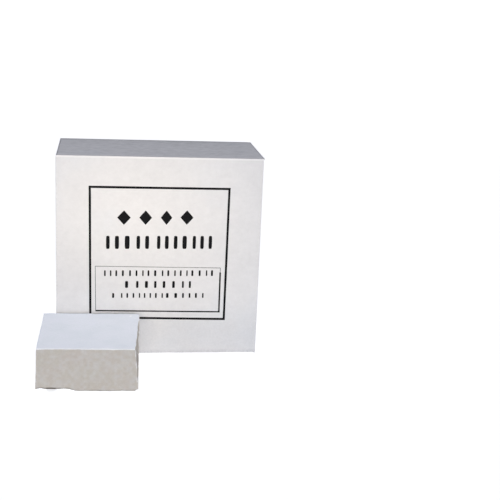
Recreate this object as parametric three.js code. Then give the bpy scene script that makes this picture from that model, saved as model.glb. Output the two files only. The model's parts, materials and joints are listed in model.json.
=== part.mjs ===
// Gymnastics chalk in its folding carton: a tuck-top paperboard carton holding
// two stacks of pressed chalk blocks, with one block taken out and lying flat
// in front of the carton's left half.
//
// Millimetres, +Z up, +X to the viewer's right, -Y towards the viewer.
// Origin: centre of the carton's footprint, on the surface it stands on.

import * as THREE from 'three';
import { RoundedBoxGeometry } from 'three/addons/geometries/RoundedBoxGeometry.js';

// ---------------------------------------------------------------- carton
const CARTON_W = 108.0;        // outside, left to right
const CARTON_D = 57.5;         // outside, front to back
const CARTON_H = 108.0;        // outside, closed
const BOARD = 0.6;             // board thickness
const GAP = 0.3;               // clearance between touching pieces
const CREASE = 1.0;            // free board between a hinge line and each panel it joins

// lid: its rear edge is the crease on the back panel
const LID_OVERHANG_LEFT = -0.3;
const LID_OVERHANG_RIGHT = 0.4;

// tuck flap: goes down behind the front panel, leaning a little inwards
const TUCK_DEPTH = 13.5;       // from its hinge line
const TUCK_LEAN_DEG = 10.5;
const TUCK_SIDE_INSET = 2.6;
const TUCK_CORNER_R = 7.0;

// dust flaps: under the lid, creased on the side panels
const DUST_LENGTH = 36.0;
const DUST_REAR_START = 3.2;   // distance from the back at the crease
const DUST_REAR_SLOPE = 0.55;  // taper of the rear edge
const DUST_FRONT_START = 3.0;  // distance from the front at the crease
const DUST_FRONT_SLOPE = 0.12;

// glue flap: continues the back panel round the rear right corner
const GLUE_WIDTH = 15.0;
const GLUE_END_INSET = 3.5;
const GLUE_END_TAPER = 4.0;

// bottom: four overlapping flaps, glued
const BOTTOM_INNER_SHORTFALL = 7.0;
const BOTTOM_MINOR_LENGTH = 40.0;
const BOTTOM_MINOR_TAPER = 3.5;

// ---------------------------------------------------------------- blocks
const BLOCK_W = 50.8;          // square face
const BLOCK_T = 23.5;          // thickness
const BLOCK_EDGE_R = 1.1;      // worn edges
const STACK_LEFT_X = -26.3;    // stack centres
const STACK_RIGHT_X = 26.0;
const STACK_Y = 1.6;
// small offsets of each block in its stack: x, y, turn in degrees
const LEFT_OFFSETS = [[0.2, 0.1, 0.2], [-0.3, -0.2, -0.35], [0.25, 0.2, 0.3]];
const RIGHT_OFFSETS = [[0.1, 0.2, -0.2], [-0.2, -0.1, 0.3], [0.2, 0.1, -0.25], [0.0, -0.2, 0.3]];

// the loose block, in front of the carton
const LOOSE_X = -36.1;
const LOOSE_Y = -55.5;
const LOOSE_TURN_DEG = -2.2;

// ---------------------------------------------------------------- helpers
const BOARD_WHITE = 0xebe9e6;
const BOARD_INNER = 0xd9d6cf;
const CHALK = 0xdfe1e4;

const part = new THREE.Group();

function material(color, roughness) {
  return new THREE.MeshStandardMaterial({ color, roughness, metalness: 0 });
}

function add(name, geometry, color, roughness, parent = part) {
  const mesh = new THREE.Mesh(geometry, material(color, roughness));
  mesh.name = name;
  parent.add(mesh);
  return mesh;
}

// a flat panel between two corners
function panel(name, lo, hi, color = BOARD_WHITE) {
  const size = hi.map((v, i) => v - lo[i]);
  const mesh = add(name, new THREE.BoxGeometry(...size), color, 0.7);
  mesh.position.set(...hi.map((v, i) => (v + lo[i]) / 2));
  return mesh;
}

// a flat sheet of board cut to an outline, drawn in XY and one board thick in +Z
function sheet(points) {
  const shape = new THREE.Shape(points.map(([x, y]) => new THREE.Vector2(x, y)));
  return new THREE.ExtrudeGeometry(shape, { depth: BOARD, bevelEnabled: false, curveSegments: 6 });
}

const halfW = CARTON_W / 2;
const halfD = CARTON_D / 2;
const step = BOARD + GAP;      // one board and one clearance
const mid = BOARD / 2;         // hinge lines run in the middle of the board

// hinge lines
const LID_HINGE = { y: halfD - mid, z: CARTON_H - mid };
const TUCK_HINGE = { y: -halfD + step + mid, z: CARTON_H - mid };
const DUST_HINGE = { x: halfW - mid, z: CARTON_H - step - mid };

// ---------------------------------------------------------------- walls
const wallBottom = step;
const backTop = LID_HINGE.z - CREASE;
const sideTop = DUST_HINGE.z - CREASE;

panel('front_panel', [-halfW, -halfD, wallBottom], [halfW, -halfD + BOARD, CARTON_H]);
panel('back_panel', [-halfW, halfD - BOARD, wallBottom], [halfW, halfD, backTop]);
panel('left_panel', [-halfW, -halfD + step, wallBottom], [-halfW + BOARD, halfD - step, sideTop]);
panel('right_panel', [halfW - BOARD, -halfD + step, wallBottom], [halfW, halfD - step, sideTop]);

// glue flap, flat against the inside of the right panel
{
  const y0 = halfD - step - GLUE_WIDTH;
  const y1 = halfD - step;
  const z0 = wallBottom + GLUE_END_INSET;
  const z1 = sideTop - GLUE_END_INSET;
  const outline = [[y0, z0 + GLUE_END_TAPER], [y1, z0], [y1, z1], [y0, z1 - GLUE_END_TAPER]];
  const mesh = add('glue_flap', sheet(outline), BOARD_INNER, 0.8);
  // drawn in XY, stood up so that X becomes +Y and Y becomes +Z
  mesh.setRotationFromMatrix(new THREE.Matrix4().makeBasis(
    new THREE.Vector3(0, 1, 0), new THREE.Vector3(0, 0, 1), new THREE.Vector3(1, 0, 0)));
  mesh.position.set(halfW - step - BOARD, 0, 0);
}

// ---------------------------------------------------------------- bottom
panel('bottom_outer_flap', [-halfW, -halfD, 0], [halfW, halfD, BOARD]);
panel('bottom_inner_flap',
  [-halfW + step, -halfD + step + BOTTOM_INNER_SHORTFALL, step],
  [halfW - step, halfD - step, step + BOARD], BOARD_INNER);

function bottomMinorFlap(name, side) {
  const y0 = -halfD + step;
  const y1 = halfD - step;
  const outer = halfW - step;
  const inner = outer - BOTTOM_MINOR_LENGTH;
  const outline = [[outer, y0], [outer, y1], [inner, y1 - BOTTOM_MINOR_TAPER], [inner, y0 + BOTTOM_MINOR_TAPER]];
  const points = side > 0 ? outline : outline.map(([x, y]) => [-x, y]).reverse();
  add(name, sheet(points), BOARD_INNER, 0.8).position.z = 2 * step;
}
bottomMinorFlap('bottom_minor_flap_left', -1);
bottomMinorFlap('bottom_minor_flap_right', 1);

// ---------------------------------------------------------------- closure
panel('lid_panel',
  [-halfW - LID_OVERHANG_LEFT, TUCK_HINGE.y + CREASE, CARTON_H - BOARD],
  [halfW + LID_OVERHANG_RIGHT, LID_HINGE.y - CREASE, CARTON_H]);

// tuck flap: drawn in XY with X across and Y from 0 at its hinge line to -TUCK_DEPTH
{
  const x = halfW - TUCK_SIDE_INSET;
  const shape = new THREE.Shape();
  shape.moveTo(-x, -CREASE);
  shape.lineTo(-x + 0.8, -TUCK_DEPTH + TUCK_CORNER_R);
  shape.quadraticCurveTo(-x + 1.2, -TUCK_DEPTH, -x + TUCK_CORNER_R + 1, -TUCK_DEPTH);
  shape.lineTo(x - TUCK_CORNER_R - 1, -TUCK_DEPTH);
  shape.quadraticCurveTo(x - 1.2, -TUCK_DEPTH, x - 0.8, -TUCK_DEPTH + TUCK_CORNER_R);
  shape.lineTo(x, -CREASE);
  shape.closePath();
  const geometry = new THREE.ExtrudeGeometry(shape, { depth: BOARD, bevelEnabled: false, curveSegments: 6 });
  const mesh = add('tuck_flap', geometry, BOARD_INNER, 0.8);
  // local +Y runs up the flap, local +Z runs into the carton
  const lean = THREE.MathUtils.degToRad(TUCK_LEAN_DEG);
  const up = new THREE.Vector3(0, -Math.sin(lean), Math.cos(lean));
  const inward = new THREE.Vector3(0, Math.cos(lean), Math.sin(lean));
  const across = new THREE.Vector3().crossVectors(up, inward);
  mesh.setRotationFromMatrix(new THREE.Matrix4().makeBasis(across, up, inward));
  mesh.position.set(0, TUCK_HINGE.y, TUCK_HINGE.z).addScaledVector(inward, -mid);
}

function dustFlap(name, side) {
  const outer = DUST_HINGE.x - CREASE;
  const tip = outer - DUST_LENGTH;
  const r = 3;
  const rear = (s) => halfD - DUST_REAR_START - DUST_REAR_SLOPE * s;
  const front = (s) => -halfD + DUST_FRONT_START + DUST_FRONT_SLOPE * s;
  const L = DUST_LENGTH;
  const outline = [
    [outer, front(0)], [outer, rear(0)],
    [tip + r, rear(L - r)], [tip + r * 0.3, rear(L) - r * 0.45], [tip, rear(L) - r * 1.3],
    [tip, front(L) + r], [tip + r * 0.3, front(L) + r * 0.3], [tip + r, front(L - r)],
  ];
  const points = side > 0 ? outline : outline.map(([x, y]) => [-x, y]).reverse();
  add(name, sheet(points), BOARD_INNER, 0.8).position.z = DUST_HINGE.z - mid;
}
dustFlap('dust_flap_left', -1);
dustFlap('dust_flap_right', 1);

// ---------------------------------------------------------------- blocks
function block(name, x, y, z, turnDeg) {
  const mesh = add(name, new RoundedBoxGeometry(BLOCK_W, BLOCK_W, BLOCK_T, 2, BLOCK_EDGE_R), CHALK, 0.95);
  mesh.position.set(x, y, z + BLOCK_T / 2);
  mesh.rotation.z = THREE.MathUtils.degToRad(turnDeg);
  return mesh;
}

const stackBottom = 3 * step;
LEFT_OFFSETS.forEach(([dx, dy, turn], i) => {
  block(`block_left_${i + 1}`, STACK_LEFT_X + dx, STACK_Y + dy, stackBottom + i * (BLOCK_T + GAP), turn);
});
RIGHT_OFFSETS.forEach(([dx, dy, turn], i) => {
  block(`block_right_${i + 1}`, STACK_RIGHT_X + dx, STACK_Y + dy, stackBottom + i * (BLOCK_T + GAP), turn);
});
block('loose_block', LOOSE_X, LOOSE_Y, 0, LOOSE_TURN_DEG);

export default part;
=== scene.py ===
import json
import math

import bmesh
import bpy
import numpy as np
from mathutils import Matrix, Vector


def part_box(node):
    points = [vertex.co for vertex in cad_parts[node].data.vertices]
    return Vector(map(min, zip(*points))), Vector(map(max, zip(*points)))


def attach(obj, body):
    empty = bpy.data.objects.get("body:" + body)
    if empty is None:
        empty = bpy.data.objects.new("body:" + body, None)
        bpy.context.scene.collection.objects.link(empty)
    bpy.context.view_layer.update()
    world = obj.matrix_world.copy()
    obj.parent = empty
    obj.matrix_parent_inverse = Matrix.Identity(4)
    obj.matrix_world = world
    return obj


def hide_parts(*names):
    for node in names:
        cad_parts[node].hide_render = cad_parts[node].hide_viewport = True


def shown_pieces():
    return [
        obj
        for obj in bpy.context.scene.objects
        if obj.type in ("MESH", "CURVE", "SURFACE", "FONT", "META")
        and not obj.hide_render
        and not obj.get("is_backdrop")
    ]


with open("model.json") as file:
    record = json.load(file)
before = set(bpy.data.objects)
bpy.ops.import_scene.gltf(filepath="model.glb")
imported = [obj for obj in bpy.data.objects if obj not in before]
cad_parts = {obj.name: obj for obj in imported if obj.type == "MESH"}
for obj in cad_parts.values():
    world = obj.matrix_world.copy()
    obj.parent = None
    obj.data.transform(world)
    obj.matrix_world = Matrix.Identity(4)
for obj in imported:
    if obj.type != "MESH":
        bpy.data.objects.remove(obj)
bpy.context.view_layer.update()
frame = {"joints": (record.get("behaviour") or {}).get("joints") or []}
scene = bpy.context.scene
scene.view_settings.view_transform = "Standard"
scene.view_settings.look = "None"

MM = 0.001


def box_mm(node):
    lo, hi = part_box(node)
    return np.array(lo) * 1000.0, np.array(hi) * 1000.0


# ------------------------------------------------------------------ sizes read from the frame, in mm
front_lo, front_hi = box_mm("front_panel")
back_lo, back_hi = box_mm("back_panel")
left_lo, left_hi = box_mm("left_panel")
right_lo, right_hi = box_mm("right_panel")
lid_lo, lid_hi = box_mm("lid_panel")
T = front_hi[1] - front_lo[1]          # board thickness
HALF = T / 2
TOP = front_hi[2]
XR = right_hi[0]
YF = front_lo[1]
YB = back_hi[1]
hinges = {j["name"]: j for j in frame["joints"]}
LID_P = np.array(hinges["lid_open"]["pos_m"]) * 1000.0
TUCK_P = np.array(hinges["tuck_fold"]["pos_m"]) * 1000.0
DUST_P = np.array(hinges["dust_right_open"]["pos_m"]) * 1000.0


# ------------------------------------------------------------------ deterministic noise
def _hash(ix, iy, iz, seed):
    h = (ix * 374761393 + iy * 668265263 + iz * 1440662683 + seed * 1274126177) & 0xFFFFFFFF
    h = ((h ^ (h >> 13)) * 1274126177) & 0xFFFFFFFF
    h = ((h ^ (h >> 15)) * 2246822519) & 0xFFFFFFFF
    return ((h ^ (h >> 16)) & 0xFFFFFF).astype(float) / float(0xFFFFFF) * 2.0 - 1.0


def vnoise(p, size, seed):
    """Smooth value noise from -1 to 1, with features of about size mm."""
    q = np.asarray(p, float) / size + 517.31
    i = np.floor(q).astype(np.int64)
    f = q - i
    f = f * f * f * (f * (f * 6 - 15) + 10)
    x, y, z = i[..., 0], i[..., 1], i[..., 2]
    fx, fy, fz = f[..., 0], f[..., 1], f[..., 2]

    def n(a, b, c):
        return _hash(x + a, y + b, z + c, seed)

    x00 = n(0, 0, 0) * (1 - fx) + n(1, 0, 0) * fx
    x10 = n(0, 1, 0) * (1 - fx) + n(1, 1, 0) * fx
    x01 = n(0, 0, 1) * (1 - fx) + n(1, 0, 1) * fx
    x11 = n(0, 1, 1) * (1 - fx) + n(1, 1, 1) * fx
    return (x00 * (1 - fy) + x10 * fy) * (1 - fz) + (x01 * (1 - fy) + x11 * fy) * fz


def fbm(p, size, seed, octaves=4, gain=0.5):
    total, amp, norm = 0.0, 1.0, 0.0
    for k in range(octaves):
        total = total + amp * vnoise(p, size / (2.03 ** k), seed + 17 * k)
        norm += amp
        amp *= gain
    return total / norm


def smooth(a, b, x):
    t = np.clip((x - a) / (b - a), 0, 1)
    return t * t * (3 - 2 * t)


# ------------------------------------------------------------------ mesh helpers
def make_piece(name, verts_mm, faces, materials, face_mat=None, attrs=None, sharp_deg=38):
    me = bpy.data.meshes.new(name)
    v = np.asarray(verts_mm, float) * MM
    me.from_pydata(v.tolist(), [], [tuple(int(i) for i in f) for f in faces])
    me.update()
    for m in materials:
        me.materials.append(m)
    if face_mat is not None:
        me.polygons.foreach_set("material_index", np.asarray(face_mat, np.int32))
    for key, values in (attrs or {}).items():
        a = me.attributes.new(key, "FLOAT", "POINT")
        a.data.foreach_set("value", np.asarray(values, np.float32))
    bm = bmesh.new()
    bm.from_mesh(me)
    bmesh.ops.recalc_face_normals(bm, faces=bm.faces)
    limit = math.radians(sharp_deg)
    for f in bm.faces:
        f.smooth = True
    for e in bm.edges:
        if len(e.link_faces) == 2 and e.calc_face_angle(0.0) > limit:
            e.smooth = False
    bm.to_mesh(me)
    bm.free()
    ob = bpy.data.objects.new(name, me)
    scene.collection.objects.link(ob)
    return ob


def loft(name, outer, inner, materials, round_start=False, round_end=False, attrs_fn=None, arc=6):
    """A board made from its two faces, each a grid [column, row, xyz] in mm. Rows run away from the crease or the bottom.
    A rounded start or end closes the board with a half circle about the middle of its thickness."""
    nu, nv = outer.shape[:2]
    loops = []
    sides = []
    for k in range(nu):
        o, i = outer[k], inner[k]

        def half_circle(a, b, outward):
            mid = (a + b) / 2
            r = (a - b) / 2
            rad = np.linalg.norm(r)
            w = outward / np.linalg.norm(outward) * rad
            t = np.linspace(0, math.pi, arc + 2)[1:-1]
            return mid + np.cos(t)[:, None] * r + np.sin(t)[:, None] * w

        start = np.zeros((0, 3))
        end = np.zeros((0, 3))
        if round_start:
            start = half_circle(i[0], o[0], (o[0] + i[0]) - (o[1] + i[1]))
        if round_end:
            end = half_circle(o[-1], i[-1], (o[-1] + i[-1]) - (o[-2] + i[-2]))
        h = len(start) // 2
        loop = np.concatenate([start[h:], o, end, i[::-1], start[:h]])
        loops.append(loop)
    m = len(loops[0])
    verts = np.concatenate(loops)
    no = nv
    s_extra = (arc - arc // 2) if round_start else 0
    faces, mats = [], []
    for k in range(nu - 1):
        for j in range(m):
            j2 = (j + 1) % m
            faces.append((k * m + j, (k + 1) * m + j, (k + 1) * m + j2, k * m + j2))
            jj = j - s_extra
            if 0 <= jj < no - 1:
                mats.append(0)
            elif jj == -1 or jj < 0:
                mats.append(0 if round_start else 2)
            elif jj < no - 1 + (arc + 1 if round_end else 1):
                if round_end:
                    mats.append(0 if jj < no - 1 + arc // 2 + 1 else 1)
                else:
                    mats.append(2)
            elif jj < no - 1 + (arc + 1 if round_end else 1) + no - 1:
                mats.append(1)
            else:
                mats.append(1 if round_start else 2)
    for k, flip in ((0, False), (nu - 1, True)):
        base = k * m
        for j in range(m // 2 - 1):
            quad = (base + j, base + j + 1, base + m - 2 - j, base + m - 1 - j)
            if len(set(quad)) < 4:
                quad = tuple(dict.fromkeys(quad))
            faces.append(quad[::-1] if flip else quad)
            mats.append(2)
    attrs = attrs_fn(verts) if attrs_fn else None
    return make_piece(name, verts, faces, materials, mats, attrs)


# ------------------------------------------------------------------ materials
def new_material(name):
    m = bpy.data.materials.new(name)
    m.use_nodes = True
    nt = m.node_tree
    for n in list(nt.nodes):
        nt.nodes.remove(n)
    out = nt.nodes.new("ShaderNodeOutputMaterial")
    bsdf = nt.nodes.new("ShaderNodeBsdfPrincipled")
    nt.links.new(bsdf.outputs[0], out.inputs[0])
    return m, nt, bsdf


def node(nt, kind, **values):
    n = nt.nodes.new(kind)
    for k, v in values.items():
        if k.startswith("in_"):
            key = k[3:]
            sock = n.inputs[int(key)] if key.isdigit() else n.inputs[key.replace("_", " ")]
            sock.default_value = v
        else:
            setattr(n, k, v)
    return n


def noise_tex(nt, vec, scale, detail=3.0, rough=0.5, distortion=0.0):
    n = node(nt, "ShaderNodeTexNoise")
    n.inputs["Scale"].default_value = scale
    n.inputs["Detail"].default_value = detail
    n.inputs["Roughness"].default_value = rough
    n.inputs["Distortion"].default_value = distortion
    nt.links.new(vec, n.inputs["Vector"])
    return n.outputs["Fac"]


def ramp(nt, fac, stops):
    r = node(nt, "ShaderNodeValToRGB")
    els = r.color_ramp.elements
    while len(els) < len(stops):
        els.new(0.5)
    for e, (pos, col) in zip(els, stops):
        e.position = pos
        e.color = (*col, 1.0) if len(col) == 3 else col
    nt.links.new(fac, r.inputs[0])
    return r.outputs[0]


def mapr(nt, fac, a, b, c, d):
    m = node(nt, "ShaderNodeMapRange")
    m.inputs["From Min"].default_value = a
    m.inputs["From Max"].default_value = b
    m.inputs["To Min"].default_value = c
    m.inputs["To Max"].default_value = d
    nt.links.new(fac, m.inputs["Value"])
    return m.outputs[0]


def mixc(nt, fac, a, b, mode="MIX"):
    m = node(nt, "ShaderNodeMix", data_type="RGBA", blend_type=mode)
    for sock, v in ((m.inputs[0], fac), (m.inputs[6], a), (m.inputs[7], b)):
        if isinstance(v, (int, float)):
            sock.default_value = v
        elif isinstance(v, tuple):
            sock.default_value = (*v, 1.0) if len(v) == 3 else v
        else:
            nt.links.new(v, sock)
    return m.outputs[2]


def math_node(nt, op, a, b=None):
    m = node(nt, "ShaderNodeMath", operation=op)
    for sock, v in ((m.inputs[0], a), (m.inputs[1], b)):
        if v is None:
            continue
        if isinstance(v, (int, float)):
            sock.default_value = v
        else:
            nt.links.new(v, sock)
    return m.outputs[0]


def bump(nt, height, distance, strength=1.0, chain=None):
    b = node(nt, "ShaderNodeBump")
    b.inputs["Strength"].default_value = strength
    b.inputs["Distance"].default_value = distance
    nt.links.new(height, b.inputs["Height"])
    if chain is not None:
        nt.links.new(chain, b.inputs["Normal"])
    return b.outputs[0]


def coords(nt, scale=(1, 1, 1), rot=(0, 0, 0)):
    tc = node(nt, "ShaderNodeTexCoord")
    mp = node(nt, "ShaderNodeMapping")
    mp.inputs["Scale"].default_value = scale
    mp.inputs["Rotation"].default_value = rot
    nt.links.new(tc.outputs["Object"], mp.inputs["Vector"])
    return mp.outputs[0]


def srgb(r, g, b):
    def f(c):
        c /= 255.0
        return c / 12.92 if c <= 0.04045 else ((c + 0.055) / 1.055) ** 2.4
    return (f(r), f(g), f(b))


def board_outer_material():
    m, nt, bsdf = new_material("board_coated_white")
    vec = coords(nt)
    broad = noise_tex(nt, vec, 26.0, 3.0, 0.55)
    fine = noise_tex(nt, vec, 420.0, 4.0, 0.6)
    speck = noise_tex(nt, vec, 1500.0, 2.0, 0.5)
    wear = node(nt, "ShaderNodeAttribute", attribute_name="wear").outputs["Fac"]
    tone = ramp(nt, broad, [(0.30, srgb(239, 238, 238)), (0.52, srgb(243, 242, 242)), (0.72, srgb(240, 241, 243))])
    fibre = mapr(nt, fine, 0.3, 0.75, 0.965, 1.015)
    col = mixc(nt, 1.0, tone, fibre, "MULTIPLY")
    cloud = noise_tex(nt, vec, 170.0, 3.0, 0.6, 0.3)
    col = mixc(nt, 1.0, col, mapr(nt, cloud, 0.3, 0.7, 0.972, 1.01), "MULTIPLY")
    spk = mapr(nt, speck, 0.66, 0.78, 0.0, 0.10)
    col = mixc(nt, spk, col, srgb(186, 180, 172))
    rub = noise_tex(nt, coords(nt), 900.0, 3.0, 0.65)
    worn = math_node(nt, "MULTIPLY", wear, mapr(nt, rub, 0.40, 0.62, 0.15, 1.0))
    col = mixc(nt, math_node(nt, "MULTIPLY", worn, 0.42), col, srgb(196, 193, 190))
    # painted highlight: lightens the top edge band of the front panel and the front of the lid
    lite = node(nt, "ShaderNodeAttribute", attribute_name="lite").outputs["Fac"]
    col = mixc(nt, lite, col, srgb(253, 252, 252))
    mottle = node(nt, "ShaderNodeAttribute", attribute_name="mottle").outputs["Fac"]
    blotch = noise_tex(nt, vec, 230.0, 4.0, 0.62, 0.2)
    col = mixc(nt, mottle, col, mixc(nt, 1.0, col, mapr(nt, blotch, 0.32, 0.68, 0.90, 1.07), "MULTIPLY"))
    # painted shade: greys the foot of the front panel, darkens the front towards its bottom, and darkens the lid's side
    # and rear edges and its rear
    soil = node(nt, "ShaderNodeAttribute", attribute_name="soil").outputs["Fac"]
    painted_shade_amount = math_node(nt, "MULTIPLY", soil, mapr(nt, rub, 0.35, 0.65, 0.55, 1.0))
    col = mixc(nt, math_node(nt, "MULTIPLY", painted_shade_amount, 0.8), col, srgb(150, 150, 156))
    nt.links.new(col, bsdf.inputs["Base Color"])
    rough = mapr(nt, fine, 0.3, 0.7, 0.46, 0.60)
    rough = math_node(nt, "ADD", rough, math_node(nt, "MULTIPLY", worn, 0.25))
    nt.links.new(rough, bsdf.inputs["Roughness"])
    bsdf.inputs["Specular IOR Level"].default_value = 0.35
    n1 = bump(nt, broad, 0.00022, 0.5)
    n2 = bump(nt, fine, 0.000035, 0.7, n1)
    n3 = bump(nt, math_node(nt, "MULTIPLY", worn, -1.0), 0.00006, 0.6, n2)
    nt.links.new(n3, bsdf.inputs["Normal"])
    return m


def board_inner_material():
    m, nt, bsdf = new_material("board_uncoated")
    long_fibre = noise_tex(nt, coords(nt, (1, 1, 0.22)), 520.0, 4.0, 0.65, 0.4)
    cross_fibre = noise_tex(nt, coords(nt, (0.25, 1, 1)), 700.0, 3.0, 0.6, 0.3)
    broad = noise_tex(nt, coords(nt), 60.0, 3.0, 0.5)
    col = ramp(nt, long_fibre, [(0.30, srgb(212, 206, 196)), (0.55, srgb(226, 221, 212)), (0.75, srgb(233, 229, 222))])
    col = mixc(nt, 1.0, col, mapr(nt, broad, 0.3, 0.7, 0.96, 1.02), "MULTIPLY")
    fleck = mapr(nt, cross_fibre, 0.66, 0.74, 0.0, 0.35)
    col = mixc(nt, fleck, col, srgb(190, 180, 165))
    nt.links.new(col, bsdf.inputs["Base Color"])
    nt.links.new(mapr(nt, long_fibre, 0.3, 0.7, 0.82, 0.95), bsdf.inputs["Roughness"])
    bsdf.inputs["Specular IOR Level"].default_value = 0.2
    n1 = bump(nt, long_fibre, 0.00006, 0.8)
    n2 = bump(nt, cross_fibre, 0.00005, 0.6, n1)
    nt.links.new(n2, bsdf.inputs["Normal"])
    return m


def board_edge_material():
    m, nt, bsdf = new_material("board_cut_edge")
    ply = noise_tex(nt, coords(nt, (0.2, 1.0, 1.0)), 2600.0, 3.0, 0.6)
    broad = noise_tex(nt, coords(nt), 300.0, 2.0, 0.5)
    col = ramp(nt, ply, [(0.32, srgb(226, 222, 214)), (0.5, srgb(243, 241, 237)), (0.7, srgb(250, 249, 247))])
    col = mixc(nt, 1.0, col, mapr(nt, broad, 0.3, 0.7, 0.95, 1.02), "MULTIPLY")
    nt.links.new(col, bsdf.inputs["Base Color"])
    nt.links.new(mapr(nt, ply, 0.3, 0.7, 0.85, 0.97), bsdf.inputs["Roughness"])
    bsdf.inputs["Specular IOR Level"].default_value = 0.2
    nt.links.new(bump(nt, ply, 0.00008, 0.8), bsdf.inputs["Normal"])
    return m


def ink_material(name, dark, light):
    m, nt, bsdf = new_material(name)
    a = noise_tex(nt, coords(nt), 900.0, 4.0, 0.65)
    b = noise_tex(nt, coords(nt), 160.0, 2.0, 0.5)
    col = ramp(nt, a, [(0.35, dark), (0.68, light)])
    col = mixc(nt, mapr(nt, b, 0.4, 0.8, 0.0, 0.25), col, light)
    nt.links.new(col, bsdf.inputs["Base Color"])
    nt.links.new(mapr(nt, a, 0.3, 0.7, 0.55, 0.75), bsdf.inputs["Roughness"])
    bsdf.inputs["Specular IOR Level"].default_value = 0.12
    nt.links.new(bump(nt, a, 0.00002, 0.6), bsdf.inputs["Normal"])
    return m


def chalk_material():
    m, nt, bsdf = new_material("pressed_chalk")
    vec = coords(nt)
    side_grain_and_shade = node(nt, "ShaderNodeAttribute", attribute_name="rough").outputs["Fac"]
    chip_and_highlight_a = node(nt, "ShaderNodeAttribute", attribute_name="chip").outputs["Fac"]
    cloud = noise_tex(nt, vec, 75.0, 4.0, 0.6)
    grain = noise_tex(nt, vec, 900.0, 5.0, 0.7)
    mid = noise_tex(nt, vec, 340.0, 5.0, 0.72, 0.0)
    # pressed faces: cool white with faint clouding, lighter and cooler than the sides partly as painted light
    face = ramp(nt, cloud, [(0.32, srgb(222, 226, 232)), (0.5, srgb(226, 229, 235)), (0.70, srgb(229, 231, 238))])
    face = mixc(nt, 1.0, face, mapr(nt, grain, 0.3, 0.75, 0.96, 1.015), "MULTIPLY")
    # broken and cut sides: warmer, granular, mottled, and darker than the faces partly as painted shade
    side = ramp(nt, mid, [(0.30, srgb(202, 193, 184)), (0.5, srgb(205, 197, 188)), (0.72, srgb(208, 201, 192))])
    side = mixc(nt, mapr(nt, cloud, 0.38, 0.66, 0.0, 0.55), side, srgb(202, 198, 186))
    side = mixc(nt, 1.0, side, mapr(nt, grain, 0.3, 0.72, 0.93, 1.03), "MULTIPLY")
    col = mixc(nt, side_grain_and_shade, face, side)
    # fresh white: real chips, and painted highlight along the arrises and the top front edge
    fresh = mixc(nt, 1.0, (0.96, 0.96, 0.96), mapr(nt, grain, 0.3, 0.72, 0.95, 1.03), "MULTIPLY")
    col = mixc(nt, math_node(nt, "MULTIPLY", chip_and_highlight_a, 0.95), col, fresh)
    # painted shade: darkens the foot of the sides, the pockets under the block and the broken edges
    chalk_painted_shade = node(nt, "ShaderNodeAttribute", attribute_name="dark").outputs["Fac"]
    col = mixc(nt, math_node(nt, "MULTIPLY", chalk_painted_shade, 0.85), col, srgb(84, 76, 70))
    nt.links.new(col, bsdf.inputs["Base Color"])
    bsdf.inputs["Roughness"].default_value = 0.95
    bsdf.inputs["Specular IOR Level"].default_value = 0.15
    strength = math_node(nt, "ADD", math_node(nt, "MULTIPLY", side_grain_and_shade, 0.75), 0.22)
    b1 = node(nt, "ShaderNodeBump")
    b1.inputs["Distance"].default_value = 0.00014
    nt.links.new(mid, b1.inputs["Height"])
    nt.links.new(strength, b1.inputs["Strength"])
    b2 = node(nt, "ShaderNodeBump")
    b2.inputs["Distance"].default_value = 0.00014
    nt.links.new(grain, b2.inputs["Height"])
    nt.links.new(strength, b2.inputs["Strength"])
    nt.links.new(b1.outputs[0], b2.inputs["Normal"])
    nt.links.new(b2.outputs[0], bsdf.inputs["Normal"])
    return m


BOARD = [board_outer_material(), board_inner_material(), board_edge_material()]
INK = ink_material("ink_black", (0.002, 0.002, 0.003), (0.010, 0.010, 0.012))
INK_GREY = ink_material("ink_thin_grey", (0.14, 0.14, 0.14), (0.30, 0.30, 0.30))
CHALK = chalk_material()


# ------------------------------------------------------------------ carton walls
R_OUT = 0.78                       # outside radius of the folded corners
R_LOW = 0.66                       # outside radius of the fold into the bottom flaps


def front_bow(x, z):
    """Outward bow of the front panel, mm."""
    s = smooth(0.0, 16.0, z)
    side = np.clip(1 - (x / XR) ** 2, 0, 1)
    b = side * s * (0.10 + 0.20 * np.sin(np.pi * np.clip(z / TOP, 0, 1)))
    p = np.stack([x, np.zeros_like(x) + 3.0, z], -1)
    return b + side * s * 0.06 * vnoise(p, 34.0, 5) + 0.012 * side * vnoise(p, 9.0, 6)


def other_bow(a, z, seed, amount):
    side = np.clip(1 - a ** 2, 0, 1)
    s = smooth(0.0, 14.0, z)
    p = np.stack([a * 40, np.zeros_like(a) + seed * 7.0, z], -1)
    return side * s * (amount * np.sin(np.pi * np.clip(z / TOP, 0, 1)) + 0.05 * vnoise(p, 30.0, seed))


def crease_groove(dist):
    """How much the board is pressed in on its outside at this distance from a scored crease, mm."""
    return 0.15 * (1 - smooth(0.45, 1.15, dist))


def wall_wear(verts):
    """How rubbed the board is: most at the folded corners and cut edges."""
    v = np.asarray(verts)
    dx = XR - np.abs(v[:, 0])
    dy = np.minimum(np.abs(v[:, 1] - YF), np.abs(v[:, 1] - YB))
    corner = np.exp(-np.maximum(dx, 0) / 0.9) * np.exp(-np.maximum(dy, 0) / 0.9)
    top = np.exp(-np.abs(TOP - v[:, 2]) / 0.7) * 0.7
    low = np.exp(-np.abs(v[:, 2]) / 0.8)
    n = 0.65 + 0.5 * vnoise(v, 5.0, 41)
    return {"wear": np.clip((corner + top + low) * n, 0, 1)}


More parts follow.
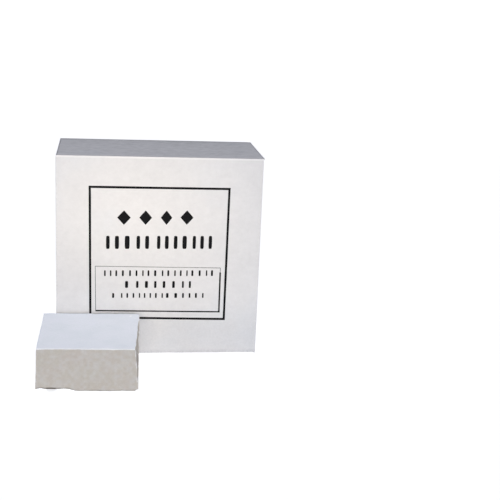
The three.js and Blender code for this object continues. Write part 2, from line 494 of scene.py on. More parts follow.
def wall(name, node_name, start, end, bow_fn, z_top, rounded_top, z_low, nz=56, arc_from=45, arc_to=45, painted_top_highlight=0.0, groove=False):
    """A wall of the sleeve in plan from start to end, which are the outside corner points, with part of the fold at each end.
    The outside lies to the right of the way from start to end. Between its corners the wall turns in at the bottom."""
    start, end = np.array(start, float), np.array(end, float)
    d = end - start
    length = np.linalg.norm(d)
    d = d / length
    n = np.array([d[1], -d[0]])                 # outward
    cols = []                                   # (point, normal, share along the panel, share of the bottom fold)
    for k in range(6):                          # the first half fold, from the corner's middle
        a = math.radians(arc_from) * (1 - k / 6)
        c = start + d * R_OUT - n * R_OUT
        nn = n * math.cos(a) - d * math.sin(a)
        if arc_from > 0:
            cols.append((c + nn * R_OUT, nn, -1.0, 0.0))
    steps = max(8, int(round(length / 2.2)))
    lo = R_OUT if arc_from > 0 else 0.0
    hi = length - (R_OUT if arc_to > 0 else 0.0)
    along = np.concatenate([[lo, lo + 0.35, lo + 0.8], np.linspace(lo + 1.6, hi - 1.6, steps), [hi - 0.8, hi - 0.35, hi]])
    for s in along:
        cols.append((start + d * s, n, (s / length) * 2 - 1, float(smooth(0.0, 0.8, min(s - lo, hi - s)))))
    for k in range(1, 7):
        a = math.radians(arc_to) * k / 6
        c = end - d * R_OUT - n * R_OUT
        nn = n * math.cos(a) + d * math.sin(a)
        if arc_to > 0:
            cols.append((c + nn * R_OUT, nn, 1.0, 0.0))
    phi = np.linspace(math.pi / 2, 0, 7)
    z_arc = z_low + R_LOW * (1 - np.sin(phi))
    zs = np.concatenate([z_arc, np.linspace(z_low + 2.4, z_top - 2.2, nz), [z_top - 1.6, z_top - 1.2, z_top - 0.9, z_top - 0.6, z_top - 0.3, z_top]])
    phis = np.concatenate([phi, np.zeros(len(zs) - len(phi))])
    outer = np.zeros((len(cols), len(zs), 3))
    inner = np.zeros_like(outer)
    for k, (p, nn, share, fold) in enumerate(cols):
        b = bow_fn(np.full_like(zs, p[0]), np.full_like(zs, p[1]), np.full_like(zs, share), zs)
        ang = phis * fold
        o_off = b - R_LOW * (1 - np.cos(ang))
        i_off = b - R_LOW + (R_LOW - T) * np.cos(ang)
        o_z = np.where(phis > 0, z_low + R_LOW * (1 - np.sin(phis)), zs)
        i_z = np.where(phis > 0, z_low + R_LOW - (R_LOW - T) * np.sin(ang) - R_LOW * (np.sin(phis) - np.sin(ang)), zs)
        if groove:
            o_off = o_off - crease_groove(z_top - zs)
        outer[k] = np.stack([p[0] + nn[0] * o_off, p[1] + nn[1] * o_off, o_z], -1)
        inner[k] = np.stack([p[0] + nn[0] * i_off, p[1] + nn[1] * i_off, i_z], -1)

    def attrs(verts):
        out = wall_wear(verts)
        v = np.asarray(verts)
        # painted highlight: a light band along the top 1 mm of the wall
        band = 1 - smooth(0.70, 1.15, z_top - v[:, 2])
        out["lite"] = painted_top_highlight * band * np.clip(1.0 + 0.35 * vnoise(v, 2.5, 51), 0, 1)
        # painted shade: the foot of the front panel darker, and the front panel slightly darker towards its bottom
        foot = 0.60 * (1 - smooth(0.5, 2.2, v[:, 2])) * np.clip(0.8 + 0.35 * vnoise(v, 9.0, 52), 0, 1)
        out["soil"] = np.maximum(foot, 0.17 * (1 - smooth(8.0, 34.0, v[:, 2]))) * (np.abs(v[:, 1] - YF) < 1.2)
        return out

    ob = loft(name, outer, inner, BOARD, round_end=rounded_top, attrs_fn=attrs)
    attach(ob, "carton")
    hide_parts(node_name)
    return ob


def bow_front(x, y, share, z):
    return np.where(np.abs(share) < 1, front_bow(x, z), 0.0)


def bow_left(x, y, share, z):
    return other_bow(share, z, 11, 0.16)


def bow_right(x, y, share, z):
    return np.minimum(other_bow(share, z, 12, 0.16), 0.3)


def bow_back(x, y, share, z):
    return np.minimum(other_bow(share, z, 13, -0.28), 0.0)


# plan corners, outside, counter-clockwise seen from above
SEAM_X = XR - T - 0.08             # the back panel turns here, inside the right panel
wall("front_board", "front_panel", (-XR, YF), (XR, YF), bow_front, TOP, False, 0.0, painted_top_highlight=1.0)
wall("left_board", "left_panel", (-XR, YB), (-XR, YF), bow_left, DUST_P[2], True, 0.62)
wall("back_board", "back_panel", (SEAM_X, YB), (-XR, YB), bow_back, LID_P[2], True, 0.62, arc_from=89, groove=True)
wall("right_board", "right_panel", (XR, YF), (XR, YB - 0.35), bow_right, DUST_P[2], True, 0.62, arc_to=0)

# ------------------------------------------------------------------ glue flap: carries on from the back panel's fold
g_lo, g_hi = box_mm("glue_flap")
gy = np.concatenate([[YB - R_OUT], np.linspace(g_hi[1] - 1.0, g_lo[1], 12)])
rows = 40
outer = np.zeros((rows + 1, len(gy), 3))
for k in range(rows + 1):
    f = k / rows
    taper = np.clip((g_hi[1] - gy) / (g_hi[1] - g_lo[1]), 0, 1) * 4.0
    zlo = g_lo[2] + taper
    zhi = g_hi[2] - taper
    outer[k, :, 0] = SEAM_X - 0.10 * smooth(0, 6, g_hi[1] - gy)
    outer[k, :, 1] = gy
    outer[k, :, 2] = zlo + (zhi - zlo) * f
inner = outer - np.array([T - 0.05, 0, 0])
glue = loft("glue_flap_board", outer, inner, BOARD)
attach(glue, "carton")
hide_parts("glue_flap")


# ------------------------------------------------------------------ flat flaps of the bottom
def flat_flap(name, node_name, outline_fn, z_low, thick, body="carton", nx=48, ny=24, wave=0.0, seed=1, outer_down=True):
    """A sheet in the XY plane. outline_fn(u, v) gives x, y for u and v from 0 to 1."""
    u = np.linspace(0, 1, nx + 1)
    v = np.linspace(0, 1, ny + 1)
    uu, vv = np.meshgrid(u, v, indexing="ij")
    x, y = outline_fn(uu, vv)
    p = np.stack([x, y, np.zeros_like(x)], -1)
    w = wave * vnoise(p, 26.0, seed) * smooth(0, 0.2, vv) * smooth(0, 0.2, 1 - vv)
    low = np.stack([x, y, np.full_like(x, z_low) + np.abs(w)], -1)
    high = low + np.array([0, 0, thick])
    ob = loft(name, low if outer_down else high, high if outer_down else low, BOARD)
    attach(ob, body)
    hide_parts(node_name)
    return ob


def outer_flap_outline(u, v):
    y0, y1 = YF + R_LOW + 0.02, YB - 0.25
    x = (u * 2 - 1) * (XR - R_OUT - 0.30)
    # the flap is widest near its free end, and its rear corners are cut off
    x = x * (1 + 0.0065 * smooth(0.02, 0.10, v)) * (1 - 0.012 * smooth(0.965, 1.0, v))
    return x, y0 + (y1 - y0) * v


flat_flap("bottom_outer_board", "bottom_outer_flap", outer_flap_outline, 0.0, T - 0.03)
i_lo, i_hi = box_mm("bottom_inner_flap")
flat_flap("bottom_inner_board", "bottom_inner_flap",
          lambda u, v: (i_lo[0] + 0.2 + (i_hi[0] - i_lo[0] - 0.4) * u, i_lo[1] + (i_hi[1] - i_lo[1] - 0.2) * v),
          i_lo[2] - 0.22, T, wave=0.08, seed=3)
for side, nm in ((-1, "left"), (1, "right")):
    m_lo, m_hi = box_mm(f"bottom_minor_flap_{nm}")
    a, b = (m_lo[0], m_hi[0]) if side > 0 else (m_hi[0], m_lo[0])    # a is the inner end

    def minor_outline(u, v, a=a, b=b, m_lo=m_lo, m_hi=m_hi):
        x = a + (b - a) * u
        half = (m_hi[1] - m_lo[1]) / 2 - 0.3
        taper = 3.5 * (1 - u)
        corner = 2.2 * np.clip((0.06 - u) / 0.06, 0, 1) ** 2
        return x, (m_hi[1] + m_lo[1]) / 2 + (v * 2 - 1) * (half - taper - corner)

    flat_flap(f"bottom_minor_board_{nm}", f"bottom_minor_flap_{nm}", minor_outline, m_lo[2] - 0.38, T, wave=0.10, seed=7 + side)


# ------------------------------------------------------------------ lid, tuck flap and dust flaps
# edge wear, with optional painted shade and painted highlight
def edge_wear_and_painted_light(fn, soil=None, lite=None, mottle=0.0):
    def inner_fn(verts):
        v = np.asarray(verts)
        n = 0.65 + 0.5 * vnoise(v, 4.0, 47)
        out = {"wear": np.clip(fn(v) * n, 0, 1)}
        if soil:
            out["soil"] = np.clip(soil(v) * (0.85 + 0.4 * vnoise(v, 7.0, 48)), 0, 1)
        if lite:
            out["lite"] = np.clip(lite(v), 0, 1)
        out["mottle"] = np.full(len(v), mottle)
        return out
    return inner_fn


x0, x1 = lid_lo[0], lid_hi[0]
ys = np.concatenate([[TUCK_P[1], TUCK_P[1] + 0.25, TUCK_P[1] + 0.7, TUCK_P[1] + 1.5],
                     np.linspace(TUCK_P[1] + 3.0, LID_P[1] - 3.0, 26),
                     [LID_P[1] - 2.2, LID_P[1] - 1.5, LID_P[1] - 1.0, LID_P[1] - 0.6, LID_P[1] - 0.25, LID_P[1]]])
xs = np.concatenate([[x0, x0 + 0.25, x0 + 0.5, x0 + 0.8, x0 + 1.2], np.linspace(x0 + 2.0, x1 - 2.0, 50), [x1 - 1.2, x1 - 0.8, x1 - 0.5, x1 - 0.25, x1]])
xx, yy = np.meshgrid(xs, ys, indexing="ij")
fy = np.clip((yy - TUCK_P[1]) / (LID_P[1] - TUCK_P[1]), 0, 1)
fx = np.clip((xx - x0) / (x1 - x0), 0, 1)
# a closed lid dips a little along its middle; its free side edges dip least
sag = -(0.07 + 0.10 * np.sin(np.pi * fx)) * np.sin(np.pi * fy) ** 0.8
sag = sag + 0.03 * vnoise(np.stack([xx, yy, xx * 0], -1), 28.0, 21) * np.sin(np.pi * fy)
sag = np.clip(sag, -0.24, 0.0)
top = np.stack([xx, yy, np.full_like(xx, TOP) + sag], -1)
bottom = top - np.array([0, 0, T])
top[:, :, 2] -= crease_groove(LID_P[1] - yy)
# the lid carries painted shade along its side and rear edges and towards its rear and right, and a painted highlight
# over its front half, strongest near the front edge
lid = loft("lid_board", top, bottom, BOARD, round_start=True, round_end=True, arc=8,
           attrs_fn=edge_wear_and_painted_light(lambda v: np.exp(-np.minimum(np.abs(v[:, 1] - YB), np.abs(v[:, 1] - TUCK_P[1])) / 0.8) * 0.5,
                              lambda v: np.maximum.reduce([1 - smooth(0.35, 0.95, np.minimum(v[:, 0] - x0, x1 - v[:, 0])),
                                                           1 - smooth(1.1, 2.6, YB - v[:, 1]),
                                                           0.26 * smooth(YB - 9.0, YB - 1.5, v[:, 1]) + 0.09 * smooth(x0, x1, v[:, 0])]),
                              lambda v: 0.55 * (1 - smooth(2.0, YB - 3.0, v[:, 1])) + 0.40 * (1 - smooth(YF + 2.0, YF + 11.0, v[:, 1])), 1.0))
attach(lid, "lid")
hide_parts("lid_panel")

# tuck flap
t_lo, t_hi = box_mm("tuck_flap")
lean = math.radians(10.5)
depth = 13.5
down = np.array([0, math.sin(lean), -math.cos(lean)])
into = np.array([0, math.cos(lean), math.sin(lean)])
vs = np.concatenate([[0.0, 0.2, 0.6, 1.2], np.linspace(2.2, depth - 3.0, 10), depth - 3.0 + 3.0 * np.sin(np.linspace(0.1, 1, 12) * math.pi / 2)])
half_w = (t_hi[0] - t_lo[0]) / 2
us = np.linspace(-1, 1, 61)
outer = np.zeros((len(us), len(vs), 3))
for j, v in enumerate(vs):
    w = half_w - 0.8 * np.clip(v / 6.5, 0, 1)
    if v > depth - 7.0:                       # rounded lower corners
        q = (v - (depth - 7.0)) / 7.0
        w = w - 7.2 * (1 - math.sqrt(max(0.0, 1 - q ** 2.2)))
    for k, u in enumerate(us):
        x = u * w
        outer[k, j] = np.array([x, TUCK_P[1], TUCK_P[2]]) + down * v - into * HALF
inner = outer + into * T
tuck = loft("tuck_flap_board", outer, inner, BOARD, round_start=True, arc=8,
            attrs_fn=edge_wear_and_painted_light(lambda v: np.exp(-np.abs(TOP - v[:, 2]) / 0.8)))
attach(tuck, "tuck")
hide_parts("tuck_flap")

# dust flaps
for side, nm in ((-1, "left"), (1, "right")):
    d_lo, d_hi = box_mm(f"dust_flap_{nm}")
    L = d_hi[0] - d_lo[0] + 1.0
    sv = np.concatenate([[0.0, 0.2, 0.6, 1.1], np.linspace(2.2, L - 3.2, 14), L - 3.0 + 3.0 * np.sin(np.linspace(0.05, 1, 10) * math.pi / 2)])
    uu = np.linspace(0, 1, 29)
    top = np.zeros((len(uu), len(sv), 3))
    for j, s in enumerate(sv):
        s1 = max(0.0, s - 1.0)
        rear = YB - 3.2 - 0.55 * s1
        frnt = YF + 3.0 + 0.12 * s1
        if s > L - 3.0:
            q = (s - (L - 3.0)) / 3.0
            c = 3.0 * (1 - math.sqrt(max(0.0, 1 - q * q)))
            rear -= c
            frnt += c
        for k, u in enumerate(uu):
            y = frnt + (rear - frnt) * u
            droop = -0.9 * (s / L) ** 2 + 0.12 * math.sin(3.1 * u) * (s / L)
            top[k, j] = (side * (DUST_P[0] - s), y, DUST_P[2] + HALF + droop)
    low = top - np.array([0, 0, T])
    ob = loft(f"dust_flap_board_{nm}", top, low, BOARD, round_start=True, arc=8,
              attrs_fn=edge_wear_and_painted_light(lambda v: np.exp(-np.abs(XR - np.abs(v[:, 0])) / 0.8)))
    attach(ob, f"dust_{nm}")
    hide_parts(f"dust_flap_{nm}")


# ------------------------------------------------------------------ label, printed on the front panel
INK_H = 0.035


def front_surface(x, z, lift):
    return np.stack([x, YF - front_bow(x, z) - lift, z], -1)


class Print:
    """Collects flat printed marks on the front panel as thin closed plates."""

    def __init__(self):
        self.verts, self.faces = [], []

    def plate(self, grid_x, grid_z):
        """grid_x and grid_z: [i, j] positions on the panel."""
        nu, nv = grid_x.shape
        outer = front_surface(grid_x, grid_z, INK_H)
        inner = front_surface(grid_x, grid_z, -0.03)
        base = sum(len(v) for v in self.verts)
        self.verts.append(outer.reshape(-1, 3))
        self.verts.append(inner.reshape(-1, 3))
        off = nu * nv

        def o(i, j):
            return base + i * nv + j

        for i in range(nu - 1):
            for j in range(nv - 1):
                a, b, c, d = o(i, j), o(i + 1, j), o(i + 1, j + 1), o(i, j + 1)
                self.faces.append((a, b, c, d))
                self.faces.append((a + off, d + off, c + off, b + off))
        ring = [o(i, 0) for i in range(nu)] + [o(nu - 1, j) for j in range(1, nv)] + [o(i, nv - 1) for i in range(nu - 2, -1, -1)] + [o(0, j) for j in range(nv - 2, 0, -1)]
        for a, b in zip(ring, ring[1:] + ring[:1]):
            self.faces.append((a, a + off, b + off, b))

    def line(self, a, b, width, wobble=0.0, seed=1, end_a=0.0, end_b=0.0):
        a, b = np.array(a, float), np.array(b, float)
        d = b - a
        length = np.linalg.norm(d)
        d = d / length
        n = np.array([-d[1], d[0]])
        k = max(2, int(length / 1.5))
        t = np.linspace(-end_a, length + end_b, k + 1)
        w = width / 2 * (1 + wobble * vnoise(np.stack([t, t * 0, t * 0], -1), 3.0, seed))
        p1 = a + t[:, None] * d + n * w[:, None]
        p2 = a + t[:, None] * d - n * w[:, None]
        self.plate(np.stack([p1[:, 0], p2[:, 0]], 1), np.stack([p1[:, 1], p2[:, 1]], 1))

    def blob(self, cx, cz, w, h, power=4.0, n=7):
        """A rounded plain mark; power 2 is an ellipse, a large power is a rectangle, 1 is a diamond."""
        u = np.linspace(-1, 1, n * 2 + 1)
        uu, vv = np.meshgrid(u, u, indexing="ij")
        m = np.maximum(np.abs(uu), np.abs(vv)) + 1e-9
        norm = (np.abs(uu) ** power + np.abs(vv) ** power) ** (1 / power) + 1e-9
        k = m / norm
        self.plate(cx + uu * k * w / 2, cz + vv * k * h / 2)

    def build(self, name, material):
        ob = make_piece(name, np.concatenate(self.verts), self.faces, [material])
        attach(ob, "carton")
        return ob


frame_print = Print()
OUT = [(-36.52, 91.81), (36.21, 91.74), (35.76, 19.60), (-36.03, 20.78)]
for k, (p, q) in enumerate(zip(OUT, OUT[1:] + OUT[:1])):
    frame_print.line(p, q, 1.18, 0.05, 60 + k, 0.59, 0.59)
frame_print.build("label_outer_frame", INK)

inner_dark = Print()
inner_dark.line((32.89, 46.0), (32.93, 23.75), 0.84, 0.10, 71, 0.0, 0.36)
inner_dark.line((32.93, 23.75), (-33.25, 24.60), 0.72, 0.08, 72, 0.42, 0.1)
inner_dark.build("label_inner_frame_heavy", INK)
inner_light = Print()
inner_light.line((-33.25, 24.9), (-33.56, 49.23), 0.32, 0.10, 73)
inner_light.line((-33.56, 49.23), (32.91, 48.51), 0.30, 0.15, 74)
inner_light.line((32.91, 48.51), (32.89, 46.0), 0.30, 0.15, 75)
inner_light.build("label_inner_frame_light", INK_GREY)

# plain marks in place of the words: lozenges for the first line, blocks in word groups for the others
marks = Print()
for a, b, mid in ((-22.6, -15.0, 75.7), (-11.1, -3.9, 75.8), (0.2, 6.7, 75.9), (10.5, 17.9, 76.1)):
    marks.blob((a + b) / 2, mid, (b - a) * 0.92, 7.7, 1.02)


def word_row(a, b, low, high, count, seed, fill, slope=0.0, power=5.0):
    """A word's worth of upright blocks from a to b. fill is the share of the pitch that is inked."""
    r = np.random.RandomState(seed)
    widths = 0.8 + 0.4 * r.rand(count)
    pitch = (b - a) / (widths.sum() - widths[-1] * (1 - fill))
    x = a
    for w in widths:
        ww = w * pitch * fill
        marks.blob(x + ww / 2, (low + high) / 2 + slope * x, ww, high - low, power, n=5)
        x += w * pitch


word_row(-28.0, -5.5, 58.9, 66.0, 5, 21, 0.41, 0.007)
word_row(-1.3, 27.9, 58.9, 66.0, 7, 22, 0.42, 0.007)
word_row(-28.9, -1.4, 43.9, 47.1, 9, 11, 0.27, 0.004)
word_row(1.6, 29.0, 43.9, 47.1, 9, 12, 0.27, 0.004)
word_row(-17.8, -5.7, 37.3, 41.1, 3, 13, 0.27)
word_row(-2.4, 17.3, 37.3, 41.1, 5, 14, 0.27)
word_row(-24.6, -23.5, 31.7, 34.4, 1, 15, 0.7)
word_row(-19.9, 2.4, 31.7, 34.4, 8, 16, 0.26)
word_row(4.1, 10.0, 31.7, 34.4, 2, 17, 0.29)
word_row(12.7, 24.3, 31.7, 34.4, 4, 18, 0.27)
marks.build("label_marks", INK)


# ------------------------------------------------------------------ chalk blocks
def lattice(nx_pos, ny_pos, nz_pos):
    nx, ny, nz = len(nx_pos), len(ny_pos), len(nz_pos)
    idx = -np.ones((nx, ny, nz), np.int64)
    ii, jj, kk = np.meshgrid(range(nx), range(ny), range(nz), indexing="ij")
    shell = (ii == 0) | (ii == nx - 1) | (jj == 0) | (jj == ny - 1) | (kk == 0) | (kk == nz - 1)
    idx[shell] = np.arange(shell.sum())
    pts = np.stack([np.asarray(nx_pos)[ii[shell]], np.asarray(ny_pos)[jj[shell]], np.asarray(nz_pos)[kk[shell]]], -1)
    faces = []

    def quads(g, flip):
        a, b, c, d = g[:-1, :-1].ravel(), g[1:, :-1].ravel(), g[1:, 1:].ravel(), g[:-1, 1:].ravel()
        q = np.stack([a, b, c, d], -1)
        faces.append(q[:, ::-1] if flip else q)

    quads(idx[:, :, 0], True)
    quads(idx[:, :, -1], False)
    quads(idx[:, 0, :], False)
    quads(idx[:, -1, :], True)
    quads(idx[0, :, :], True)
    quads(idx[-1, :, :], False)
    return pts, np.concatenate(faces)


def spaced(half, fine, coarse, band=2.6):
    e = np.arange(0, band, fine)
    n = max(2, int(round((2 * half - 2 * band) / coarse)))
    return np.concatenate([-half + e, np.linspace(-half + band, half - band, n + 1), (half - e)[::-1]])


def chalk_block(name, node_name, body, seed, fine, coarse, chips, scoops=(), turn=0.0, cuts=(), low=None, hollows=(), spare=None,
                front_drop=0.0, front_narrow=0.0, painted_highlight_band=0.0, crumbs=(), painted_foot_shade=0.3):
    """A pressed block. scoops are chips (centre, radius, stretch), cuts are broken edges (normal, point, unevenness,
    rim width, shadow), low(x, y) gives how far the underside stands off, hollows are shadowed pockets (x from, x to,
    height), spare keeps chips away, front_drop and front_narrow (from the left) are how much smaller the front is, the
    highlight band is the width of the painted white highlight along the top front edge, crumbs are flecked patches
    (centre, radius), the foot shade is how dark the painted shade along the foot of the sides is."""
    lo, hi = box_mm(node_name)
    c = (lo + hi) / 2
    a = np.array([25.4, 25.4, (hi[2] - lo[2]) / 2])
    pts, faces = lattice(spaced(a[0], fine, coarse), spaced(a[1], fine, coarse), spaced(a[2], fine, coarse))
    off = np.array([seed * 131.7, seed * 57.3, seed * 23.9])
    pn = pts + off
    # uneven edge radius
    r = 0.52 + 0.26 * vnoise(pn, 6.0, seed) + 0.14 * vnoise(pn, 1.9, seed + 1)
    r = np.clip(r, 0.26, 1.0)
    q = np.clip(pts, -(a - r[:, None]), a - r[:, None])
    d = pts - q
    n = d / np.maximum(np.linalg.norm(d, axis=1, keepdims=True), 1e-9)
    p = q + n * r[:, None]
    side = np.clip(1 - np.abs(n[:, 2]) * 1.25, 0, 1)
    flat = 1 - side
    # sides were cut or broken away: granular and faintly wavy; the faces were pressed smooth
    wavy = 0.5 + 0.5 * fbm(pn, 14.0, seed + 5, 3)
    grain = 0.5 + 0.5 * fbm(pn, 2.4, seed + 9, 4, 0.6)
    ridge = 1 - np.abs(fbm(pn * np.array([1, 1, 1.5]), 5.0, seed + 13, 3))
    inward = side * (0.16 * wavy + 0.20 * grain + 0.10 * (1 - ridge))
    inward += flat * (0.05 * wavy + 0.035 * grain)
    p = p - n * inward[:, None]
    # marks the sides: their bumps, and their darker, warmer colour that is partly painted shade
    rough = np.clip(side * 1.25, 0, 1)
    # painted highlight: the arrises are coloured fresh white
    arris = 1 - smooth(0.80, 0.975, np.abs(n).max(1))
    chip = arris * np.where(np.abs(n[:, 2]) > 0.15, 1.0, 0.3) * np.clip(0.9 + 0.4 * vnoise(pn, 3.5, seed + 61), 0, 1)
    shade = np.zeros(len(p))
    rs = np.random.RandomState(1000 + seed)
    # small pits, more of them on the sides
    for k in range(chips * 3):
        ax = rs.randint(0, 3)
        ctr = (rs.rand(3) * 2 - 1) * a
        on_face = ax == 2
        if on_face and rs.rand() > 0.25:
            continue
        ctr[ax] = a[ax] * rs.choice([-1, 1])
        rad = 0.35 + 0.8 * rs.rand() ** 2
        dist = np.linalg.norm(p - ctr, axis=1)
        m = dist < rad * 1.6
        if m.any():
            depth = (0.10 + 0.22 * rs.rand()) * (0.4 if on_face else 1.0)
            p[m] -= n[m] * (depth * (1 - (dist[m] / (rad * 1.6)) ** 2) ** 2)[:, None]
    # edges broken off along a plane
    for k, (nrm, pt, uneven, rim_to, shadow) in enumerate(cuts):
        nrm = np.array(nrm, float)
        nrm /= np.linalg.norm(nrm)
        w = uneven * (0.7 * vnoise(pn, 5.0, seed + 80 + k) + 0.45 * vnoise(pn, 1.6, seed + 90 + k))
        over = (p - np.array(pt, float)) @ nrm - w
        m = over > 0
        p[m] -= nrm * over[m][:, None]
        rough[m] = np.maximum(rough[m], np.clip(over[m] / 0.12, 0, 1))
        rim = 1 - smooth(rim_to * 0.35, rim_to, over[m])
        flakes = smooth(-0.25, 0.3, vnoise(pn[m], 2.6, seed + 95 + k))
        chip[m] = np.maximum(chip[m] * (1 - np.clip(over[m] / 0.1, 0, 1)), flakes * rim)
        # painted shade on the outer part of each broken face
        shade[m] = np.maximum(shade[m], shadow * smooth(rim_to * 0.5, rim_to * 1.1, over[m]))

    # chips broken off the edges and corners
    def scoop(ctr, rad, squash, wob, k):
        nonlocal p, chip
        sq = np.array(squash, float)
        v = (p - ctr) / sq
        dist = np.linalg.norm(v, axis=1)
        rr = rad * (1 + wob * vnoise(pn, rad * 0.9, 300 + seed + k))
        m = dist < rr
        if m.any():
            new = ctr + v[m] / np.maximum(dist[m], 1e-6)[:, None] * rr[m][:, None] * sq
            moved = np.linalg.norm(new - p[m], axis=1)
            chip[m] = np.maximum(chip[m], np.clip(moved / 0.5, 0, 0.38))
            p[m] = new

    for k in range(chips):
        edge = rs.randint(0, 12)
        ax = edge % 3
        s1, s2 = ((edge // 3) & 1) * 2 - 1, ((edge // 6) & 1) * 2 - 1
        o1, o2 = [i for i in range(3) if i != ax]
        ctr = np.zeros(3)
        ctr[ax] = (rs.rand() * 2 - 1) * a[ax]
        rad = 0.9 + 2.2 * rs.rand() ** 2
        push = rad * (0.55 + 0.18 * rs.rand())
        ctr[o1] = s1 * (a[o1] + push * 0.7)
        ctr[o2] = s2 * (a[o2] + push * 0.7)
        stretch = np.ones(3)
        stretch[ax] = 1.0 + 1.6 * rs.rand()
        if spare is None or not spare(ctr):
            scoop(ctr, rad, stretch, 0.3, k)
    for k, (ctr, rad, sq) in enumerate(scoops):
        scoop(np.array(ctr, float), rad, sq, 0.18, 500 + k)
    # the pressing isn't quite square
    ahead = np.clip((a[1] - p[:, 1]) / (2 * a[1]), 0, 1)
    p[:, 2] = -a[2] + (p[:, 2] + a[2]) * (1 - front_drop * ahead / (2 * a[2]))
    p[:, 0] += front_narrow * ahead * np.clip((a[0] - p[:, 0]) / (2 * a[0]), 0, 1) * (0.35 + 0.65 * (p[:, 2] + a[2]) / (2 * a[2]))
    # painted highlight: a white band along the top front edge
    if painted_highlight_band:
        edge = 1 - smooth(painted_highlight_band * 0.6, painted_highlight_band * 1.2, pts[:, 1] + a[1] + 0.25 * vnoise(pn, 2.2, seed + 75))
        chip = np.maximum(chip, edge * (pts[:, 2] > a[2] - 0.9) * flat * np.clip(0.95 + 0.35 * vnoise(pn, 2.0, seed + 76), 0, 1))
    for k, (ctr, rad) in enumerate(crumbs):
        near = 1 - smooth(rad * 0.4, rad, np.linalg.norm(pts - np.array(ctr, float), axis=1))
        speck = smooth(0.05, 0.45, vnoise(pn, 1.3, seed + 77 + k))
        chip = np.maximum(chip, near * speck)
        p -= n * (0.28 * near * speck)[:, None]
    # underside, and painted shade along the foot of the sides where it stands
    foot = -a[2] + (low(p[:, 0], p[:, 1]) if low else 0.0)
    p[:, 2] = np.maximum(p[:, 2], foot)
    above = p[:, 2] - foot
    dark = painted_foot_shade * (1 - smooth(0.2, 1.05, above)) * np.clip(0.7 + 0.6 * vnoise(pn, 2.0, seed + 71), 0, 1) * np.clip(side * 2, 0, 1)
    # painted shadow in the pockets under the raised part of the underside
    for x_from, x_to, high in hollows:
        m = smooth(x_from - 0.8, x_from + 0.8, p[:, 0]) * (1 - smooth(x_to - 0.8, x_to + 0.8, p[:, 0]))
        dark = np.maximum(dark, m * (1 - smooth(high * 0.6, high, above)) * (p[:, 1] < 0))
    dark = np.maximum(dark, shade)
    p = np.clip(p, -a, a)
    rough = np.clip(rough * (0.92 + 0.16 * vnoise(pn, 1.5, seed + 31)), 0, 1)
    cs, sn = math.cos(turn), math.sin(turn)
    w = np.stack([p[:, 0] * cs - p[:, 1] * sn, p[:, 0] * sn + p[:, 1] * cs, p[:, 2]], -1) + c
    ob = make_piece(name, w, faces, [CHALK], None, {"rough": rough, "chip": chip, "dark": dark}, sharp_deg=75)
    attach(ob, body)
    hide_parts(node_name)
    return ob


FINE, COARSE = ((0.28, 0.62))
loose_scoops = [
    # lower left corner and a nick above it
    ((-26.6, -26.0, -12.3), 1.7, (1.0, 1.0, 1.2)),
    ((-26.75, -26.5, -5.2), 1.65, (1, 1, 0.9)),
    # front right vertical edge
    ((26.2, -26.6, 8.6), 1.7, (1, 1, 1.9)),
    ((26.4, -26.5, 1.6), 1.6, (1, 1, 1.5)),
    ((26.3, -26.4, -6.0), 1.5, (1, 1, 1.6)),
    ((26.6, -26.4, -13.0), 3.6, (1, 1, 1)),
    # rear corners of the top
    ((-26.3, 26.3, 12.6), 2.0, (1.3, 1, 1)),
    ((25.9, 26.2, 12.5), 1.9, (1.2, 1, 1)),
    ((25.9, 12.0, 12.5), 1.5, (1, 2.2, 1)),
]


def loose_low(x, y):
    """The underside of the loose block is broken away a little along its front left."""
    front = 1 - smooth(1.0, 9.0, y + 25.4)
    left = 1.15 * smooth(-27.0, -21.0, x) * (1 - smooth(-11.0, -3.0, x)) + 0.75 * (1 - smooth(-25.0, -19.0, x))
    p = np.stack([x, y * 0, x * 0], -1)
    return front * np.maximum(left + 0.28 * vnoise(p, 7.0, 201) + 0.12 * vnoise(p, 2.4, 202) + 0.12, 0.0)


A2 = 25.4
chalk_block("loose_chalk", "loose_block", "loose_block", 3, FINE, COARSE, 24, loose_scoops, math.radians(-2.2),
            cuts=[((4.0, -0.15, 2.2), (A2 - 1.2, 0.0, 11.75), 0.22, 0.45, 0.50), ((1.0, -1.1, 0.06), (A2 - 1.4, -A2, 0.0), 0.20, 0.42, 0.60)],
            low=loose_low, hollows=[(-19.8, -14.6, 1.0)],
            spare=lambda c: c[1] < -20 or c[2] < -9 or (c[2] > 9 and c[1] < 10),
            front_drop=1.35, front_narrow=0.9, painted_highlight_band=0.75, crumbs=[((23.4, 22.0, 11.75), 5.0)], painted_foot_shade=0.62)
TURNS = {"left": (0.2, -0.35, 0.3), "right": (-0.2, 0.3, -0.25, 0.3)}
for nm, turns in TURNS.items():
    for i, t in enumerate(turns, 1):
        top_one = i == len(turns)
        fine, coarse = (FINE * 1.15, COARSE * 1.1) if top_one else (0.6, 1.9)
        chalk_block(f"chalk_{nm}_{i}", f"block_{nm}_{i}", "carton", 10 + i + (7 if nm == "right" else 0), fine, coarse,
                    26 if top_one else 12, turn=math.radians(t))

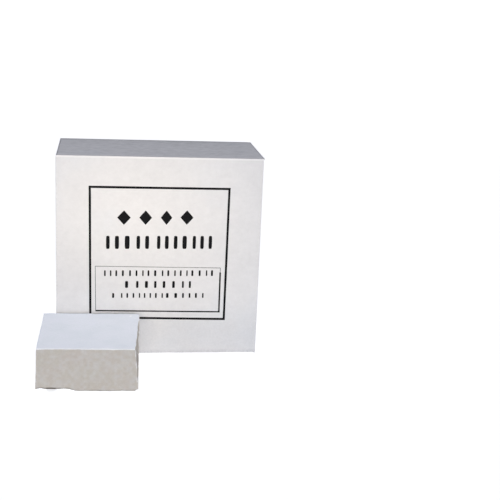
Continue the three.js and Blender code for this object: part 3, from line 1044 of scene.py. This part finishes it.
# ------------------------------------------------------------------ studio: a pale floor with a low rim, soft light
def studio_floor():
    prof = [(0.0, 0.0), (0.05, 0.0), (0.12, 0.0), (0.25, 0.0), (0.5, 0.0), (0.9, 0.0), (1.3, 0.0)]
    for k in range(1, 13):
        a = math.pi / 2 * k / 12
        prof.append((1.3 + 0.3 * math.sin(a), 0.3 * (1 - math.cos(a))))
    seg = 96
    verts, faces = [(0, 0, 0)], []
    for r, z in prof[1:]:
        for s in range(seg):
            t = 2 * math.pi * s / seg
            verts.append((r * math.cos(t), r * math.sin(t), z))
    for s in range(seg):
        faces.append((0, 1 + s, 1 + (s + 1) % seg))
    for k in range(len(prof) - 2):
        for s in range(seg):
            a = 1 + k * seg + s
            b = 1 + k * seg + (s + 1) % seg
            faces.append((a, a + seg, b + seg, b))
    me = bpy.data.meshes.new("studio_floor")
    me.from_pydata(verts, [], faces)
    for p in me.polygons:
        p.use_smooth = True
    ob = bpy.data.objects.new("studio_floor", me)
    scene.collection.objects.link(ob)
    m, nt, bsdf = new_material("studio_white")
    bsdf.inputs["Base Color"].default_value = (0.86, 0.86, 0.86, 1)
    bsdf.inputs["Roughness"].default_value = 0.9
    bsdf.inputs["Specular IOR Level"].default_value = 0.0
    bsdf.inputs["Emission Color"].default_value = (0.985, 0.99, 1.0, 1)
    bsdf.inputs["Emission Strength"].default_value = FLOOR_GLOW
    me.materials.append(m)
    ob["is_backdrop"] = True
    return ob


FLOOR_GLOW = 0.68
floor = studio_floor()

world = bpy.data.worlds.new("world")
scene.world = world
world.use_nodes = True
bg = world.node_tree.nodes["Background"]
bg.inputs["Color"].default_value = (0.90, 0.92, 1.02, 1)
bg.inputs["Strength"].default_value = 0.405


def area(name, loc, target, size, energy, color=(1, 1, 1), size_y=None, only=None, spread=180.0, blockers=None):
    l = bpy.data.lights.new(name, "AREA")
    l.shape = "RECTANGLE"
    l.size = size
    l.size_y = size_y or size
    l.energy = energy
    l.color = color
    l.spread = math.radians(spread)
    o = bpy.data.objects.new(name, l)
    scene.collection.objects.link(o)
    o.location = loc
    d = Vector(target) - Vector(loc)
    o.rotation_euler = d.to_track_quat("-Z", "Y").to_euler()
    if only:
        col = bpy.data.collections.new(name + "_lights")
        for ob in only:
            col.objects.link(ob)
        o.light_linking.receiver_collection = col
    if blockers:
        col = bpy.data.collections.new(name + "_blockers")
        for ob in blockers:
            col.objects.link(ob)
        o.light_linking.blocker_collection = col
    return o


carton_pieces = [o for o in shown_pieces() if not o.name.startswith("loose")]
loose_pieces = [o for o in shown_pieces() if o.name.startswith("loose")]
area("key_front", (-0.12, -0.62, 0.088), (-0.015, -0.029, 0.078), 0.11, 0.010, (1.0, 0.83, 0.57), size_y=0.10, only=carton_pieces, spread=13.0)
area("fill_low", (-0.0325, -0.135, 0.013), (-0.0325, -0.029, 0.013), 0.060, 0.00112, (0.97, 0.985, 1.0), size_y=0.024,
     only=carton_pieces, spread=25.0, blockers=carton_pieces)
area("key_block", (-0.036, -0.20, 0.75), (-0.036, -0.055, 0.02), 0.25, 2.55, (0.97, 0.985, 1.0), only=loose_pieces)

# ------------------------------------------------------------------ camera
cam_data = bpy.data.cameras.new("camera")
cam = bpy.data.objects.new("camera", cam_data)
scene.collection.objects.link(cam)
R = ((0.98972, -0.13635, 0.04307), (0.00644, -0.25843, -0.96601), (0.14285, 0.95636, -0.25489))
x_axis = Vector(R[0])
y_axis = -Vector(R[1])
z_axis = -Vector(R[2])
m = Matrix((
    (x_axis[0], y_axis[0], z_axis[0], -0.02929),
    (x_axis[1], y_axis[1], z_axis[1], -0.54999),
    (x_axis[2], y_axis[2], z_axis[2], 0.19748),
    (0, 0, 0, 1),
))
cam.matrix_world = m
cam_data.sensor_width = 36.0
cam_data.lens = 1015.1 / 500.0 * 36.0
cam_data.clip_start = 0.02
cam_data.clip_end = 50.0
scene.camera = cam
